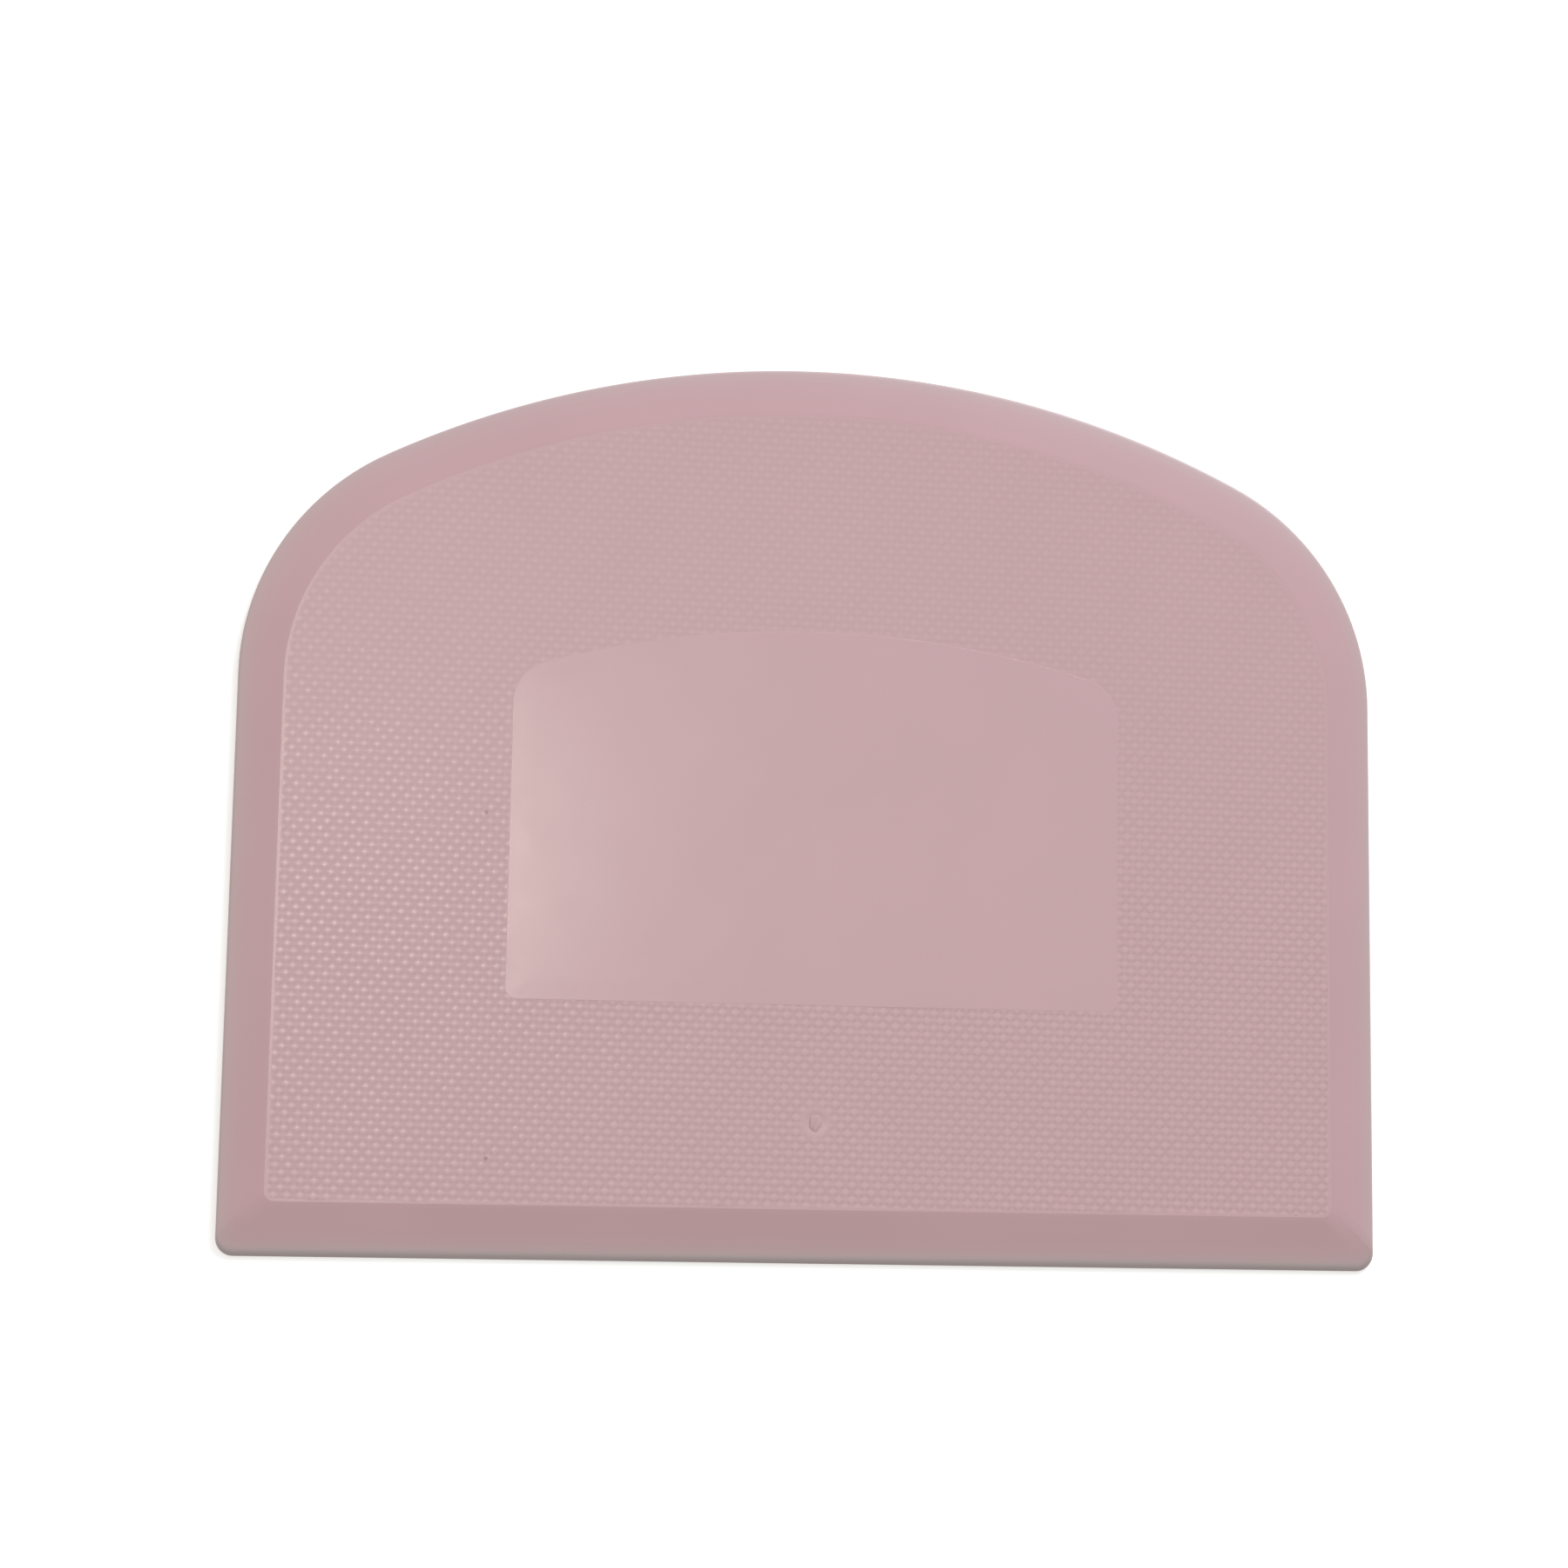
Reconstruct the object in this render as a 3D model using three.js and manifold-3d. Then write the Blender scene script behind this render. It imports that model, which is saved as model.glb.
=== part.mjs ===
// Flexible dough scraper: one flat plastic moulding, lying on its back.
//
// The moulding is modelled as the regions it is made up of. Each is a closed solid that meets its
// neighbours face to face: a core plate, four bevelled working edges round it, and a grip panel on
// each face. The front panel has a smooth window in it, and both panels are flush with the edges.
//
// Millimetres. +X runs along the straight edge, +Y towards the curved edge and +Z out of the front.
// The origin is at the middle of the back face.

import * as THREE from 'three';
import { mergeVertices } from 'three/addons/utils/BufferGeometryUtils.js';
import Module from 'manifold-3d';

// Blade outline
const bladeWidth = 120; // from flank to flank
const bladeHeight = 94.4; // from the straight edge to the top of the curved edge
const crownRadius = 100.2; // of the curved edge
const shoulderRadius = 26.6; // rounds the curved edge into the flanks
const cornerRadius = 1.8; // at the two ends of the straight edge

// Bevelled rim
const flankRimWidth = 4.75;
const straightRimWidth = 5.5;
const curvedRimWidth = 5.1;
const edgeThickness = 0.9; // of the blade at its flanks and its curved edge
const straightEdgeThickness = 0.5;
const edgeEase = 0.2; // chamfer along the outline, front and back

// Grip panels, which the bevel meets at the front face
const bladeThickness = 1.7; // from the back face to the front face
const frontPanelDepth = 0.3; // down from the front face
const backPanelDepth = 0.3; // up from the back face
const panelCornerRadius = 1.1;

// Smooth window in the front panel
const windowWidth = 63.8;
const windowHeight = 39.3; // at the middle of its arched top
const windowFromStraightEdge = 26.5;
const windowShift = 0.4; // to the right of the middle
const windowCrownRadius = 102;
const windowShoulderRadius = 4.5;
const windowCornerRadius = 1.1;

// Gate mark, where the plastic entered the mould: a stub in a shallow dimple
const gateFromStraightEdge = 14.4;
const gateShift = 0.75; // to the right of the middle
const dimpleRadius = 1.3; // at the surface
const dimpleFloorRadius = 1.0;
const dimpleDepth = 0.08;
const stubRadius = 0.7; // at its root
const stubTipRadius = 0.5;
const stubHeight = 0.12; // above the floor of the dimple

// Facets along each kind of arc
const cornerSteps = 4; // each half of a corner
const shoulderSteps = 16;
const crownSteps = 44;
const gateSides = 24;

const halfWidth = bladeWidth / 2;
const straightEdgeY = -bladeHeight / 2;
const crownY = bladeHeight / 2;
const coreTopZ = bladeThickness - frontPanelDepth;

const smoothPlastic = new THREE.MeshStandardMaterial({
  name: 'smooth_pink_plastic',
  color: 0xc5a2a7,
  roughness: 0.4,
  metalness: 0,
});

const rimPlastic = new THREE.MeshStandardMaterial({
  name: 'bevelled_pink_plastic',
  color: 0xbe999c,
  roughness: 0.45,
  metalness: 0,
});

const grippedPlastic = new THREE.MeshStandardMaterial({
  name: 'woven_pink_plastic',
  color: 0xc3a0a4,
  roughness: 0.5,
  metalness: 0,
});

const wasm = await Module();
wasm.setup();

// Points of an arc about (x, y) from angle start to angle end, both ends included.
function arcPoints(x, y, radius, start, end, steps) {
  return Array.from({ length: steps + 1 }, (unused, i) => {
    const angle = start + ((end - start) * i) / steps;
    return new THREE.Vector2(x + radius * Math.cos(angle), y + radius * Math.sin(angle));
  });
}

// An outline of the blade's kind, anticlockwise, as four runs that share their end points. The
// shoulders are tangent to the flanks and, from inside, to the crown arc. Each bottom corner is
// shared at its 45 degree point by the straight run and the flank.
function outlineRuns({ half, bottom, apex, crown, shoulder, corner, shift = 0 }) {
  const quarter = Math.PI / 4;
  const crownCentreY = apex - crown;
  const shoulderX = half - shoulder;
  const shoulderY = crownCentreY + Math.sqrt((crown - shoulder) ** 2 - shoulderX ** 2);
  const tangent = Math.atan2(shoulderY - crownCentreY, shoulderX);
  const cornerX = half - corner;
  const cornerY = bottom + corner;
  const left = shift - cornerX;
  const right = shift + cornerX;
  return {
    straight: [
      ...arcPoints(left, cornerY, corner, 5 * quarter, 6 * quarter, cornerSteps),
      ...arcPoints(right, cornerY, corner, 6 * quarter, 7 * quarter, cornerSteps),
    ],
    rightFlank: [
      ...arcPoints(right, cornerY, corner, 7 * quarter, 8 * quarter, cornerSteps),
      new THREE.Vector2(shift + half, shoulderY),
    ],
    curved: [
      ...arcPoints(shift + shoulderX, shoulderY, shoulder, 0, tangent, shoulderSteps),
      ...arcPoints(shift, crownCentreY, crown, tangent, Math.PI - tangent, crownSteps).slice(1, -1),
      ...arcPoints(shift - shoulderX, shoulderY, shoulder, Math.PI - tangent, Math.PI, shoulderSteps),
    ],
    leftFlank: [
      new THREE.Vector2(shift - half, shoulderY),
      ...arcPoints(left, cornerY, corner, 4 * quarter, 5 * quarter, cornerSteps),
    ],
  };
}

// The whole outline as one closed loop of points, with each shared end point once.
function loopOf(runs) {
  return [runs.straight, runs.rightFlank, runs.curved, runs.leftFlank].flatMap((run) => run.slice(0, -1));
}

// The blade outline drawn in by a width on each kind of side.
function bladeRuns(flankInset, straightInset, curvedInset, corner) {
  return outlineRuns({
    half: halfWidth - flankInset,
    bottom: straightEdgeY + straightInset,
    apex: crownY - curvedInset,
    crown: crownRadius - curvedInset,
    shoulder: shoulderRadius - flankInset,
    corner,
  });
}

// An upright prism of an outline, with an optional hole, between two heights.
function prism(outline, lowZ, highZ, hole = null) {
  const shape = new THREE.Shape(outline);
  if (hole) {
    shape.holes.push(new THREE.Path(hole));
  }
  const geometry = new THREE.ExtrudeGeometry(shape, { depth: highZ - lowZ, bevelEnabled: false });
  return geometry.translate(0, 0, lowZ);
}

// A closed solid swept through a list of like sections, which are rings of points that run from
// the inner side along the bottom to the outer side and back along the top.
function loft(sections) {
  const ring = sections[0].length;
  const positions = sections.flatMap((section) => section.flatMap((point) => point.toArray()));
  const index = [];
  for (let i = 0; i < sections.length - 1; i += 1) {
    for (let j = 0; j < ring; j += 1) {
      const here = i * ring + j;
      const next = i * ring + ((j + 1) % ring);
      index.push(here, here + ring, next + ring, here, next + ring, next);
    }
  }
  const last = (sections.length - 1) * ring;
  for (let j = 1; j < ring - 1; j += 1) {
    index.push(0, j, j + 1, last, last + j + 1, last + j);
  }
  const geometry = new THREE.BufferGeometry();
  geometry.setAttribute('position', new THREE.Float32BufferAttribute(positions, 3));
  geometry.setIndex(index);
  geometry.computeVertexNormals();
  return geometry;
}

function toSolid(geometry) {
  const bare = geometry.clone();
  bare.deleteAttribute('normal');
  bare.deleteAttribute('uv');
  const merged = mergeVertices(bare);
  const vertProperties = merged.attributes.position.array;
  const triVerts = new Uint32Array(merged.index.array);
  return new wasm.Manifold(new wasm.Mesh({ numProp: 3, vertProperties, triVerts }));
}

function toGeometry(solid) {
  const { vertProperties, triVerts } = solid.getMesh();
  const geometry = new THREE.BufferGeometry();
  geometry.setAttribute('position', new THREE.BufferAttribute(vertProperties, 3));
  geometry.setIndex(new THREE.BufferAttribute(triVerts, 1));
  geometry.computeVertexNormals();
  return geometry;
}

// A frustum standing on a height at the gate.
function gateFrustum(lowRadius, highRadius, lowZ, height) {
  const frustum = new THREE.CylinderGeometry(highRadius, lowRadius, height, gateSides);
  frustum.rotateX(Math.PI / 2);
  return frustum.translate(gateShift, straightEdgeY + gateFromStraightEdge, lowZ + height / 2);
}

const outerRuns = bladeRuns(0, 0, 0, cornerRadius);
const easedRuns = bladeRuns(edgeEase, edgeEase, edgeEase, cornerRadius - edgeEase);
const panelRuns = bladeRuns(flankRimWidth, straightRimWidth, curvedRimWidth, panelCornerRadius);
const panelLoop = loopOf(panelRuns);

const windowBottom = straightEdgeY + windowFromStraightEdge;
const windowLoop = loopOf(
  outlineRuns({
    half: windowWidth / 2,
    bottom: windowBottom,
    apex: windowBottom + windowHeight,
    crown: windowCrownRadius,
    shoulder: windowShoulderRadius,
    corner: windowCornerRadius,
    shift: windowShift,
  }),
);

// One working edge: flat on the back, eased along the outline, rising in a bevel to the front face.
// It thins towards the straight edge as the outline turns round each bottom corner.
function workingEdge(run) {
  const sections = outerRuns[run].map((outer, i) => {
    const eased = easedRuns[run][i];
    const inner = panelRuns[run][i];
    const facingDown = Math.max(0, eased.y - outer.y) / edgeEase;
    const thickness = THREE.MathUtils.lerp(edgeThickness, straightEdgeThickness, facingDown);
    return [
      new THREE.Vector3(inner.x, inner.y, 0),
      new THREE.Vector3(eased.x, eased.y, 0),
      new THREE.Vector3(outer.x, outer.y, edgeEase),
      new THREE.Vector3(outer.x, outer.y, thickness - edgeEase),
      new THREE.Vector3(eased.x, eased.y, thickness),
      new THREE.Vector3(inner.x, inner.y, bladeThickness),
    ];
  });
  return loft(sections);
}

// The front panel: a field round the window, with the dimple and its stub at the gate.
function frontPanel() {
  const field = toSolid(prism(panelLoop, coreTopZ, bladeThickness, windowLoop));
  const floorZ = bladeThickness - dimpleDepth;
  const flare = dimpleRadius - dimpleFloorRadius;
  const dimple = gateFrustum(dimpleFloorRadius, dimpleRadius + flare, floorZ, 2 * dimpleDepth);
  const root = (frontPanelDepth - dimpleDepth) / 2;
  const stub = gateFrustum(stubRadius, stubTipRadius, floorZ - root, stubHeight + root);
  return toGeometry(field.subtract(toSolid(dimple)).add(toSolid(stub)));
}

const scraper = new THREE.Group();
scraper.name = 'dough_scraper';

function addPiece(name, geometry, material) {
  const mesh = new THREE.Mesh(geometry, material);
  mesh.name = name;
  scraper.add(mesh);
}

addPiece('core_plate', prism(panelLoop, backPanelDepth, coreTopZ), smoothPlastic);
addPiece('straight_edge', workingEdge('straight'), rimPlastic);
addPiece('left_flank_edge', workingEdge('leftFlank'), rimPlastic);
addPiece('right_flank_edge', workingEdge('rightFlank'), rimPlastic);
addPiece('curved_edge', workingEdge('curved'), rimPlastic);
addPiece('front_grip_panel', frontPanel(), grippedPlastic);
addPiece('label_window', prism(windowLoop, coreTopZ, bladeThickness), smoothPlastic);
addPiece('back_grip_panel', prism(panelLoop, 0, backPanelDepth), grippedPlastic);

export default scraper;
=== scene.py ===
"""Flexible dough scraper: the finished surface of one plastic moulding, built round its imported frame.

Every new piece is a surface worked out as whole arrays. The rim and the panel's lip are profiles
carried round the blade's outline, the grip panels are woven height fields on a turned lattice that
is trimmed to the outline, and the window is a slab with an arched top.

Metres, in the frame of the CAD part: +X runs along the straight edge, +Y towards the curved edge
and +Z out of the front face. The scraper lies on its back.
"""

import math
from typing import NamedTuple

import bmesh
import bpy
import numpy as np
from bpy.props import FloatProperty, FloatVectorProperty, IntProperty, PointerProperty
from mathutils import Matrix, Vector


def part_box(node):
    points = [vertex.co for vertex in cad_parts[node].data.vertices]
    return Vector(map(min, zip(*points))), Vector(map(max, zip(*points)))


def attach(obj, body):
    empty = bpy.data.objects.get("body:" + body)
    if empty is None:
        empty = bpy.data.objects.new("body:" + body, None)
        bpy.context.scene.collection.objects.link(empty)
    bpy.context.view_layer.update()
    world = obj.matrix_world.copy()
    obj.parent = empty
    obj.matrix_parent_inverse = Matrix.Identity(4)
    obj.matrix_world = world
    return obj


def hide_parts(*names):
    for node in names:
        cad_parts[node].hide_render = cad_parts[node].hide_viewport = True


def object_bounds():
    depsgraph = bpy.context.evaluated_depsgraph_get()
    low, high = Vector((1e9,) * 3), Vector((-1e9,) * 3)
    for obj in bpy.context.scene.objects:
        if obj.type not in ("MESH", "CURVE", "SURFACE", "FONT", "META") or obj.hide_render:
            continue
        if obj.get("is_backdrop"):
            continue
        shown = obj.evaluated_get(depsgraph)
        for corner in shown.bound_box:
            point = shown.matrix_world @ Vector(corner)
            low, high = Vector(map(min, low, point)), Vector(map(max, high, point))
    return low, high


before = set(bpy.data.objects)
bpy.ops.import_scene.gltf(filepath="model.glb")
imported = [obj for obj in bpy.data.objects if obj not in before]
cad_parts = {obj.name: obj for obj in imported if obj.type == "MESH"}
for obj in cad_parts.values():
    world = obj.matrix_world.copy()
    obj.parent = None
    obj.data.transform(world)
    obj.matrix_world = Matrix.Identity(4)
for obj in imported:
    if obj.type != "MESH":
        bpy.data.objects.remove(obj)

bl_info = {
    "name": "Dough scraper",
    "version": (1, 0, 0),
    "blender": (4, 5, 0),
    "location": "3D View > Sidebar > Scraper",
    "description": "Builds a flexible dough scraper with a woven grip and a bevelled rim",
    "category": "Object",
}

BODY = "root"
RIM_NODES = ("straight_edge", "left_flank_edge", "right_flank_edge", "curved_edge")

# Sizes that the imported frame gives, as lowest and highest corners
BLADE_LOW, BLADE_HIGH = (np.array(corner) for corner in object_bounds())
PANEL_LOW, PANEL_HIGH = (np.array(corner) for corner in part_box("core_plate"))
WINDOW_LOW, WINDOW_HIGH = (np.array(corner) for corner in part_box("label_window"))
PLATE_Z = PANEL_HIGH[2]
FACE_Z = WINDOW_HIGH[2]
BACK_PANEL_Z = PANEL_LOW[2]

# Facets along the stretches of an outline
STRAIGHT_STEPS = 40
CORNER_STEPS = 12
FLANK_STEPS = 40
SHOULDER_STEPS = 28
CROWN_STEPS = 60

# Facets of the rim's noses and bevel, the lip's rounds, the window and the gate stub
NOSE_STEPS = 7
BEVEL_STEPS = 19
LIP_STEPS = 5
WINDOW_COLUMNS = 141
WINDOW_ROWS = 81
STUB_SIDES = 48

# The nose's widest height as a share of the edge's thickness, and its reach underneath to that above
WAIST_SHARE = 0.3
UNDER_NOSE_SHARE = 0.4

# Share of the bevel's width at which its rise starts to ease off, and how strongly it does
EASE_FROM = 0.96
EASE = 8

# Share of the grey that lies close to the thin edge, the rest of it fading across the bevel
THIN_EDGE_SHARE = 0.88

# Yarns from the middle at which the woven sheets end, and at which the front one is cut into blocks
LAST_COLUMN = 86.5
LAST_ROW = 60.5
CUT_COLUMN = 30.5
CUT_ROW = -2.5
FRONT_SEED = 11
BACK_SEED = 23

# Distances from the gate, in radii of its dimple
DIMPLE_FLOOR = 0.6
CALM_FROM = 0.8
CALM_TO = 1.7

# Radii of the gate stub's rings, as shares of its own, and how its torn streaks lean and stand out
STUB_RINGS = (1.0, 0.98, 0.94, 0.87, 0.77, 0.65, 0.52, 0.39, 0.26, 0.13)
STREAK_LEAN = 0.35
STREAK_SHARE = 0.45

QUARTER_TURN = math.pi / 2
UNEVEN_YARNS = 211
LEAST_RADIUS = 0.00002

# Relief and polish of the weave on the average, where it runs out, and beside the gate mark
MEAN_FINISH = np.array((0.45, 0.2))
SMOOTH_FINISH = np.array((0.5, 0.45))
CALM_FINISH = np.array((0.5, 0.2))

# Where a dark fleck shows in the front field, its radii within and without, and its strength
FLECKS = ((-0.0340, -0.0015), (-0.0330, -0.0370))
FLECK_CORE = 0.00012
FLECK_RADIUS = 0.00030
FLECK_STRENGTH = 0.5


class BladeSizes(bpy.types.PropertyGroup):
    """Sizes of the blade, its rim and its window that the frame's boxes don't give."""

    crown_radius: FloatProperty(
        name="Crown radius",
        description="Radius of the curved edge",
        default=0.1002,
        unit="LENGTH",
    )
    shoulder_radius: FloatProperty(
        name="Shoulder radius",
        description="Radius that rounds the curved edge into the flanks",
        default=0.0266,
        unit="LENGTH",
    )
    corner_radius: FloatProperty(
        name="Corner radius",
        description="Radius at the two ends of the straight edge",
        default=0.0018,
        unit="LENGTH",
    )
    edge_thickness: FloatProperty(
        name="Edge thickness",
        description="Thickness of the blade at its flanks and its curved edge",
        default=0.0009,
        unit="LENGTH",
    )
    straight_thickness: FloatProperty(
        name="Straight edge thickness",
        description="Thickness of the blade at its straight edge",
        default=0.0005,
        unit="LENGTH",
    )
    nose: FloatProperty(
        name="Edge nose",
        description="How far the rounded edge reaches in from the flanks and the curved edge",
        default=0.0003,
        unit="LENGTH",
    )
    straight_nose: FloatProperty(
        name="Straight edge nose",
        description="How far the rounder working edge reaches in from the straight edge",
        default=0.0008,
        unit="LENGTH",
    )
    panel_corner_radius: FloatProperty(
        name="Panel corner radius",
        description="Radius at the two bottom corners of the grip panels",
        default=0.0011,
        unit="LENGTH",
    )
    thin_reach: FloatProperty(
        name="Thin reach",
        description="How far in from the outline the plastic looks thin and grey",
        default=0.00085,
        unit="LENGTH",
    )
    # Painted shade along the straight edge: how far in it stays at its darkest, and where it ends.
    painted_edge_shade_from: FloatProperty(
        name="Scuff from",
        description="How far in from the straight edge the scuff stays at its darkest",
        default=0.0004,
        unit="LENGTH",
    )
    painted_edge_shade_to: FloatProperty(
        name="Scuff to",
        description="How far in from the straight edge the scuff ends",
        default=0.0011,
        unit="LENGTH",
    )
    lip_width: FloatProperty(
        name="Lip width",
        description="Width of the smooth band round the front weave",
        default=0.0003,
        unit="LENGTH",
    )
    straight_lip_width: FloatProperty(
        name="Straight lip width",
        description="Width of that band along the straight edge",
        default=0.0002,
        unit="LENGTH",
    )
    lip_round: FloatProperty(
        name="Lip round",
        description="Round along both edges of that band",
        default=0.00002,
        unit="LENGTH",
    )
    window_roll: FloatProperty(
        name="Window roll",
        description="Drop of the window's face towards its edge",
        default=0.000014,
        unit="LENGTH",
    )
    window_roll_width: FloatProperty(
        name="Window roll width",
        description="Width over which the window's face drops",
        default=0.0026,
        unit="LENGTH",
    )
    window_crown_radius: FloatProperty(
        name="Window crown radius",
        description="Radius of the window's arched top",
        default=0.102,
        unit="LENGTH",
    )
    window_shoulder_radius: FloatProperty(
        name="Window shoulder radius",
        description="Radius of the window's top corners",
        default=0.0045,
        unit="LENGTH",
    )
    window_corner_radius: FloatProperty(
        name="Window corner radius",
        description="Radius of the window's bottom corners",
        default=0.0011,
        unit="LENGTH",
    )
    window_edge: FloatProperty(
        name="Window edge",
        description="Round along the edge of the window, under the weave that runs up to it",
        default=0.0001,
        unit="LENGTH",
    )


class WeaveSizes(bpy.types.PropertyGroup):
    """The moulded canvas weave on both grip panels."""

    pitch_across: FloatProperty(
        name="Pitch across",
        description="Distance between yarns along the straight edge",
        default=0.0006693,
        unit="LENGTH",
    )
    pitch_along: FloatProperty(
        name="Pitch along",
        description="Distance between yarns towards the curved edge",
        default=0.0007497,
        unit="LENGTH",
    )
    turn: FloatProperty(
        name="Turn",
        description="Turn of the weave against the straight edge",
        default=math.radians(-1.05),
        unit="ROTATION",
    )
    relief: FloatProperty(
        name="Relief",
        description="Height of the tallest yarn crowns above the grooves",
        default=0.00004,
        unit="LENGTH",
    )
    fade: FloatProperty(
        name="Fade",
        description="Width over which the weave rises to the smooth surface beside it",
        default=0.00006,
        unit="LENGTH",
    )
    wear: FloatProperty(
        name="Wear",
        description="Share by which the weave is shallower near the curved edge",
        default=0.6,
        subtype="FACTOR",
    )
    wear_from: FloatProperty(
        name="Wear from",
        description="Where the weave begins to get shallower, towards the curved edge",
        default=-0.02,
        unit="LENGTH",
    )
    wear_to: FloatProperty(
        name="Wear to",
        description="Where the weave is shallowest",
        default=0.025,
        unit="LENGTH",
    )
    front_samples: IntProperty(
        name="Front samples",
        description="Grid steps for each yarn on the front",
        default=4,
    )
    back_samples: IntProperty(
        name="Back samples",
        description="Grid steps for each yarn on the back",
        default=2,
    )
    gate_x: FloatProperty(
        name="Gate across",
        description="Place of the gate mark, to the right of the middle",
        default=0.00075,
        unit="LENGTH",
    )
    gate_from_edge: FloatProperty(
        name="Gate from the straight edge",
        description="Distance of the gate mark from the straight edge",
        default=0.0144,
        unit="LENGTH",
    )
    dimple_radius: FloatProperty(
        name="Dimple radius",
        description="Radius of the small dimple round the gate mark",
        default=0.0013,
        unit="LENGTH",
    )
    dimple_depth: FloatProperty(
        name="Dimple depth",
        description="Depth of that dimple",
        default=0.00008,
        unit="LENGTH",
    )
    stub_across: FloatProperty(
        name="Stub across",
        description="Half the width of the torn stub in the dimple",
        default=0.00068,
        unit="LENGTH",
    )
    stub_along: FloatProperty(
        name="Stub along",
        description="Half the length of the stub, towards the curved edge",
        default=0.0009,
        unit="LENGTH",
    )
    stub_height: FloatProperty(
        name="Stub height",
        description="Height of the stub above the floor of the dimple",
        default=0.00009,
        unit="LENGTH",
    )
    streak_pitch: FloatProperty(
        name="Streak pitch",
        description="Distance between the torn streaks on the stub",
        default=0.00042,
        unit="LENGTH",
    )


class PlasticColours(bpy.types.PropertyGroup):
    """Colours of the plastic, in linear values."""

    body: FloatVectorProperty(
        name="Body",
        description="Pink of the thick plastic",
        default=(0.556, 0.362, 0.385),
        subtype="COLOR",
        size=3,
    )
    # Painted shade: the deeper pink between the yarns stands in for the shade in the weave's grooves.
    painted_groove_shade: FloatVectorProperty(
        name="Groove",
        description="Deeper pink between the yarns",
        default=(0.446, 0.287, 0.302),
        subtype="COLOR",
        size=3,
    )
    # Painted shade: the bevel's pink is a darker copy of the body's, standing in for the shade on the
    # sloped rim.
    bevel: FloatVectorProperty(
        name="Bevel",
        description="Deeper pink of the bevelled rim",
        default=(0.518, 0.326, 0.350),
        subtype="COLOR",
        size=3,
    )
    edge: FloatVectorProperty(
        name="Edge",
        description="Greyed pink where the plastic is thin and lets light through",
        default=(0.485, 0.380, 0.382),
        subtype="COLOR",
        size=3,
    )
    # Painted shade: a dark greyed pink laid on the straight edge's nose, which faces away from the key
    # lamp.
    painted_edge_shade: FloatVectorProperty(
        name="Scuff",
        description="Dark greyed pink of the scuffed straight edge",
        default=(0.38, 0.32, 0.315),
        subtype="COLOR",
        size=3,
    )
    fleck: FloatVectorProperty(
        name="Fleck",
        description="Dark flecks in the plastic",
        default=(0.16, 0.09, 0.09),
        subtype="COLOR",
        size=3,
    )


class StageSettings(bpy.types.PropertyGroup):
    """The camera and the light."""

    camera_place: FloatVectorProperty(
        name="Camera place",
        description="Where the camera stands",
        default=(-0.03456, -0.03948, 0.31176),
        subtype="TRANSLATION",
        size=3,
    )
    camera_aim: FloatVectorProperty(
        name="Camera aim",
        description="The point at the middle of the picture",
        default=(-0.00292, 0.00261, 0.0),
        subtype="TRANSLATION",
        size=3,
    )
    camera_roll: FloatProperty(
        name="Camera roll",
        description="Turn of the camera about its line of sight",
        default=math.radians(0.93),
        unit="ROTATION",
    )
    lens: FloatProperty(
        name="Lens",
        description="Focal length in millimetres on a 36 mm wide sensor",
        default=69.0,
    )
    sky: FloatProperty(
        name="Sky",
        description="Strength of the even light from all round",
        default=0.58,
    )


def blade_sizes():
    return bpy.context.scene.scraper_blade


def weave_sizes():
    return bpy.context.scene.scraper_weave


def colours():
    return bpy.context.scene.scraper_colours


def stage_settings():
    return bpy.context.scene.scraper_stage


class Outline(NamedTuple):
    """A flat outline: straight bottom with round corners, upright flanks, and an arched top.

    Each shoulder is tangent to its flank and, from inside, to the crown arc.
    """

    half: float
    bottom: float
    apex: float
    crown: float
    shoulder: float
    corner: float
    shift: float = 0.0

    @property
    def crown_y(self):
        return self.apex - self.crown

    @property
    def shoulder_x(self):
        return self.half - self.shoulder

    @property
    def shoulder_y(self):
        reach = (self.crown - self.shoulder) ** 2 - self.shoulder_x**2
        return self.crown_y + math.sqrt(reach)

    @property
    def tangent(self):
        """Angle of the point where shoulder and crown meet."""
        return math.atan2(self.shoulder_y - self.crown_y, self.shoulder_x)


def drawn_in(shape, depth, bottom_depth=None):
    """The same outline moved in by a depth on every side, or by another depth at the bottom."""
    return Outline(
        shape.half - depth,
        shape.bottom + (depth if bottom_depth is None else bottom_depth),
        shape.apex - depth,
        shape.crown - depth,
        max(shape.shoulder - depth, LEAST_RADIUS),
        max(shape.corner - depth, LEAST_RADIUS),
        shape.shift,
    )


def between(first, second, share):
    """The outline a share of the way from one outline to another."""
    return Outline(*(np.array(first) * (1 - share) + np.array(second) * share))


def blade_outline():
    sizes = blade_sizes()
    return Outline(
        BLADE_HIGH[0],
        BLADE_LOW[1],
        BLADE_HIGH[1],
        sizes.crown_radius,
        sizes.shoulder_radius,
        sizes.corner_radius,
    )


def panel_outline():
    sizes = blade_sizes()
    return Outline(
        PANEL_HIGH[0],
        PANEL_LOW[1],
        PANEL_HIGH[1],
        sizes.crown_radius - (BLADE_HIGH[1] - PANEL_HIGH[1]),
        sizes.shoulder_radius - (BLADE_HIGH[0] - PANEL_HIGH[0]),
        sizes.panel_corner_radius,
    )


def window_outline():
    sizes = blade_sizes()
    return Outline(
        (WINDOW_HIGH[0] - WINDOW_LOW[0]) / 2,
        WINDOW_LOW[1],
        WINDOW_HIGH[1],
        sizes.window_crown_radius,
        sizes.window_shoulder_radius,
        sizes.window_corner_radius,
        (WINDOW_HIGH[0] + WINDOW_LOW[0]) / 2,
    )


def line_points(start, end, steps):
    """Even points from start up to, and without, end."""
    share = np.linspace(0, 1, steps, endpoint=False)[:, None]
    return np.array(start) * (1 - share) + np.array(end) * share


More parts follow.
